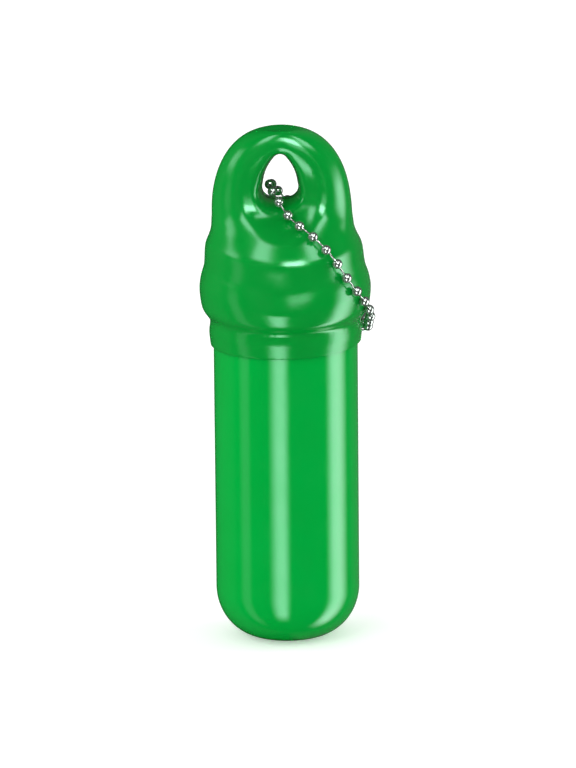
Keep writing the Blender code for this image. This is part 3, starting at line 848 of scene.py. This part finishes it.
# %% [markdown]
# ## Ball chain
# Ball chain is made of hollow beads, each rolled from thin sheet round the heads of two short wires. Every
# bead can tilt and spin on its wires. One bead and one wire are modelled, and each copy is laid between the
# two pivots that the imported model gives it.

# %% Mix the chrome
RUB_SCALE = 2600.0
RUB_HEIGHT = 0.01 * MM
RUBBED_ROUGHNESS = 0.12


def plated(name, tint, roughness):
    """Bright plating with fine rubbing marks and a little cloudiness."""
    material, nodes, links, shader = new_material(name)
    shader.inputs["Base Color"].default_value = tint
    shader.inputs["Metallic"].default_value = 0.8
    coords = add_node(nodes, "ShaderNodeTexCoord")
    rub = add_node(nodes, "ShaderNodeTexNoise")
    rub.inputs["Scale"].default_value = RUB_SCALE
    rub.inputs["Detail"].default_value = 4.0
    links.new(coords.outputs["Object"], rub.inputs["Vector"])
    dull = add_node(nodes, "ShaderNodeMapRange")
    dull.inputs["From Min"].default_value = 0.3
    dull.inputs["From Max"].default_value = 0.8
    dull.inputs["To Min"].default_value = roughness
    dull.inputs["To Max"].default_value = roughness + RUBBED_ROUGHNESS
    links.new(rub.outputs["Fac"], dull.inputs["Value"])
    links.new(dull.outputs["Result"], shader.inputs["Roughness"])
    bump = add_node(nodes, "ShaderNodeBump")
    bump.inputs["Strength"].default_value = 0.25
    bump.inputs["Distance"].default_value = RUB_HEIGHT
    links.new(rub.outputs["Fac"], bump.inputs["Height"])
    links.new(bump.outputs["Normal"], shader.inputs["Normal"])
    return material


# The tint's green cast is a painted reflection of the green vinyl beside the chain.
CHROME_WITH_PAINTED_GREEN = plated("chain_chrome", tint=(0.36, 0.42, 0.38, 1.0), roughness=0.10)
print("chrome", CHROME_WITH_PAINTED_GREEN.name)

# %% Model one bead
BEAD_RADIUS = 1.0 * MM
BEAD_WALL = 0.18 * MM
BEAD_HOLE = 0.26 * MM
BEAD_SIDES, BEAD_RINGS = 28, 22
RIM_BEVEL = 0.03 * MM
ON_PLANE = 1e-6


def model_bead():
    """A hollow bead about Z, with its near pivot at the origin."""
    bpy.ops.object.select_all(action="DESELECT")
    bpy.ops.mesh.primitive_uv_sphere_add(segments=BEAD_SIDES, ring_count=BEAD_RINGS, radius=BEAD_RADIUS)
    item = bpy.context.object
    item.name = "bead_model"
    bpy.ops.object.mode_set(mode="EDIT")
    outer_hole = BEAD_HOLE * BEAD_RADIUS / (BEAD_RADIUS - BEAD_WALL)
    mouth = math.sqrt(BEAD_RADIUS**2 - outer_hole**2)
    for side in (-1, 1):
        bpy.ops.mesh.select_all(action="SELECT")
        plane = {"plane_co": (0, 0, side * mouth), "plane_no": (0, 0, side)}
        bpy.ops.mesh.bisect(**plane, clear_outer=True, threshold=ON_PLANE)
    bpy.ops.object.mode_set(mode="OBJECT")
    wall = item.modifiers.new("wall", "SOLIDIFY")
    wall.thickness = BEAD_WALL
    wall.offset = -1.0
    rim = item.modifiers.new("rim", "BEVEL")
    rim.width = RIM_BEVEL
    rim.segments = 2
    rim.limit_method = "ANGLE"
    rim.angle_limit = math.radians(50)
    apply_modifiers(item)
    item.data.transform(Matrix.Translation((0.0, 0.0, BEAD_RADIUS - BEAD_WALL / 2)))
    return item


bead_model = model_bead()
print("bead triangles", triangles(bead_model))

# %% Model one wire link
LINK_SPAN = 1.88 * MM
WIRE_RADIUS = 0.19 * MM
HEAD_RADIUS = 0.34 * MM
HEAD_DEPTH = 0.55 * MM
HEAD_STEPS = 7
LINK_SIDES = 14


def link_outline():
    """Radius and height up a link: a round head, the wire, and the other head."""
    neck = math.asin(WIRE_RADIUS / HEAD_RADIUS)
    angles = [(math.pi - neck) * n / HEAD_STEPS for n in range(1, HEAD_STEPS + 1)]
    first = [(HEAD_RADIUS * math.sin(a), -HEAD_DEPTH - HEAD_RADIUS * math.cos(a)) for a in angles]
    last = [(radius, LINK_SPAN - height) for radius, height in reversed(first)]
    return first + last


link_model = turn_outline("link_model", link_outline(), LINK_SIDES)
print("link triangles", triangles(link_model))

# %% Find the pivots
PIVOT = {joint["child"]: Vector(joint["pos_m"]) for joint in frame["joints"]}
BEADS = 27


def middle_of(node):
    low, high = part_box(node)
    return (Vector(low) + Vector(high)) / 2


def between(start, end):
    """A frame at a start point with its Z axis towards an end point."""
    forward = (end - start).normalized()
    across = Vector((0.0, 0.0, 1.0)).cross(forward).normalized()
    turn = Matrix((across, forward.cross(across), forward)).transposed().to_4x4()
    return Matrix.Translation(start) @ turn


def bead(number):
    return f"bead_{number:02d}"


def link(number):
    return f"link_{number:02d}"


spans = {bead(1): (PIVOT[link(BEADS - 1)], PIVOT[link(1)])}
for number in range(1, BEADS):
    following = bead(number + 1)
    spans[following] = (PIVOT[following], middle_of(following))
    spans[link(number)] = (PIVOT[link(number)], PIVOT[following])
print("pivots", len(PIVOT), "spans", len(spans))


# %% Lay the chain
def lay(model, node):
    piece = bpy.data.objects.new("bright_" + node, model.data.copy())
    bpy.context.scene.collection.objects.link(piece)
    piece.data.transform(between(*spans[node]))
    finish_piece(piece, node, node, CHROME_WITH_PAINTED_GREEN, smooth_below=50.0)


for number in range(1, BEADS + 1):
    lay(bead_model, bead(number))
for number in range(1, BEADS):
    lay(link_model, link(number))
for model in (bead_model, link_model):
    bpy.data.objects.remove(model, do_unlink=True)
print("beads", BEADS, "links", BEADS - 1)

# %% Keep the connector and plate it
connector = frame["nodes"]["chain_connector"]
connector.data.materials.clear()
connector.data.materials.append(CHROME_WITH_PAINTED_GREEN)
print("plated", connector.name)
